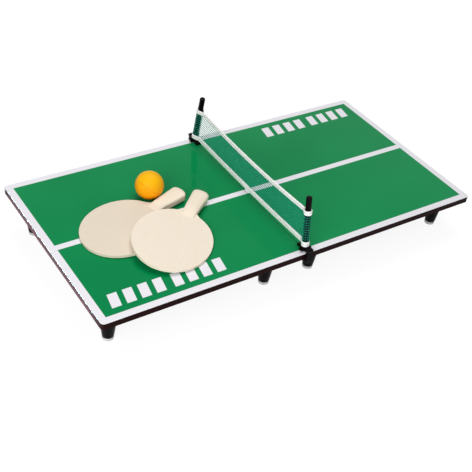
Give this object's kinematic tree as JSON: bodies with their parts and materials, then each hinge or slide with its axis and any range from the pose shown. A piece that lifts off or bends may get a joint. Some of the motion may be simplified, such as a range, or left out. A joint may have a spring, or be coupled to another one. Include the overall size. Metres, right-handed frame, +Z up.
{
  "type": "mini table tennis game",
  "caption": "Tabletop table tennis game: low green split table on tapered legs, clip-on net between leaning posts, wooden bats and a ball.",
  "frame": {"origin": "on the floor, under the middle of the table top, halfway along the seam between the two halves", "axes": "+X along the table from the half with the bats to the empty half, +Y across the table along the net, away from the camera, +Z up"},
  "size_m": [0.6, 0.3102, 0.1461],
  "materials": {
    "board": "dark painted fibreboard",
    "playing_film": "glossy green with white lines",
    "black_plastic": "satin moulded",
    "foot_pad": "light grey, soft matt",
    "screw_steel": "zinc plated",
    "dowel": "bare beech",
    "white_tape": "woven",
    "green_mesh": "open woven mesh",
    "bat_wood": "bare pale wood, sanded",
    "ball": "satin orange"
  },
  "bodies": {
    "half_left": {"panel_left": "board", "playing_surface_left": "playing_film", "seam_dowel_near": "dowel", "seam_dowel_far": "dowel", "leg_left_end_near": "black_plastic", "leg_left_end_far": "black_plastic", "leg_left_seam_near": "black_plastic", "leg_left_seam_far": "black_plastic", "foot_pad_left_end_near": "foot_pad", "foot_pad_left_end_far": "foot_pad", "foot_pad_left_seam_near": "foot_pad", "foot_pad_left_seam_far": "foot_pad", "leg_screw_left_end_near": "screw_steel", "leg_screw_left_end_far": "screw_steel", "leg_screw_left_seam_near": "screw_steel", "leg_screw_left_seam_far": "screw_steel"},
    "half_right": {"panel_right": "board", "playing_surface_right": "playing_film", "leg_right_seam_near": "black_plastic", "leg_right_seam_far": "black_plastic", "leg_right_end_near": "black_plastic", "leg_right_end_far": "black_plastic", "foot_pad_right_seam_near": "foot_pad", "foot_pad_right_seam_far": "foot_pad", "foot_pad_right_end_near": "foot_pad", "foot_pad_right_end_far": "foot_pad", "leg_screw_right_seam_near": "screw_steel", "leg_screw_right_seam_far": "screw_steel", "leg_screw_right_end_near": "screw_steel", "leg_screw_right_end_far": "screw_steel"},
    "net_frame": {"clip_near": "black_plastic", "clip_far": "black_plastic", "net_tape_top": "white_tape", "net_tape_bottom": "white_tape", "net_sleeve_near": "green_mesh", "net_sleeve_far": "green_mesh", "net_mesh": "green_mesh"},
    "post_near": {"post_near": "black_plastic"},
    "post_far": {"post_far": "black_plastic"},
    "bat_lower": {"bat_lower_blade": "bat_wood", "bat_lower_grip_top": "bat_wood", "bat_lower_grip_bottom": "bat_wood"},
    "bat_upper": {"bat_upper_blade": "bat_wood", "bat_upper_grip_top": "bat_wood", "bat_upper_grip_bottom": "bat_wood"},
    "ball": {"ball_half_upper": "ball", "ball_half_lower": "ball"}
  },
  "joints": [
    {"name": "half_right_pull", "type": "slide", "parent": "half_left", "child": "half_right", "axis": [1, 0, 0], "range_m": [0, 0.06]},
    {"name": "net_slide", "type": "slide", "parent": "half_left", "child": "net_frame", "axis": [1, 0, 0], "range_m": [0, 0.28]},
    {"name": "post_near_pull", "type": "slide", "parent": "net_frame", "child": "post_near", "axis": [0, 0.1392, 0.9903], "range_m": [0, 0.085]},
    {"name": "post_far_pull", "type": "slide", "parent": "net_frame", "child": "post_far", "axis": [0, -0.1392, 0.9903], "range_m": [0, 0.085]},
    {"name": "bat_lower_lift", "type": "slide", "parent": "half_left", "child": "bat_lower", "axis": [0, 0, 1], "range_m": [0, 0.12]},
    {"name": "bat_upper_lift", "type": "slide", "parent": "bat_lower", "child": "bat_upper", "axis": [0, 0, 1], "range_m": [0, 0.12]},
    {"name": "ball_lift", "type": "slide", "parent": "half_left", "child": "ball", "axis": [0, 0, 1], "range_m": [0, 0.12]}
  ]
}
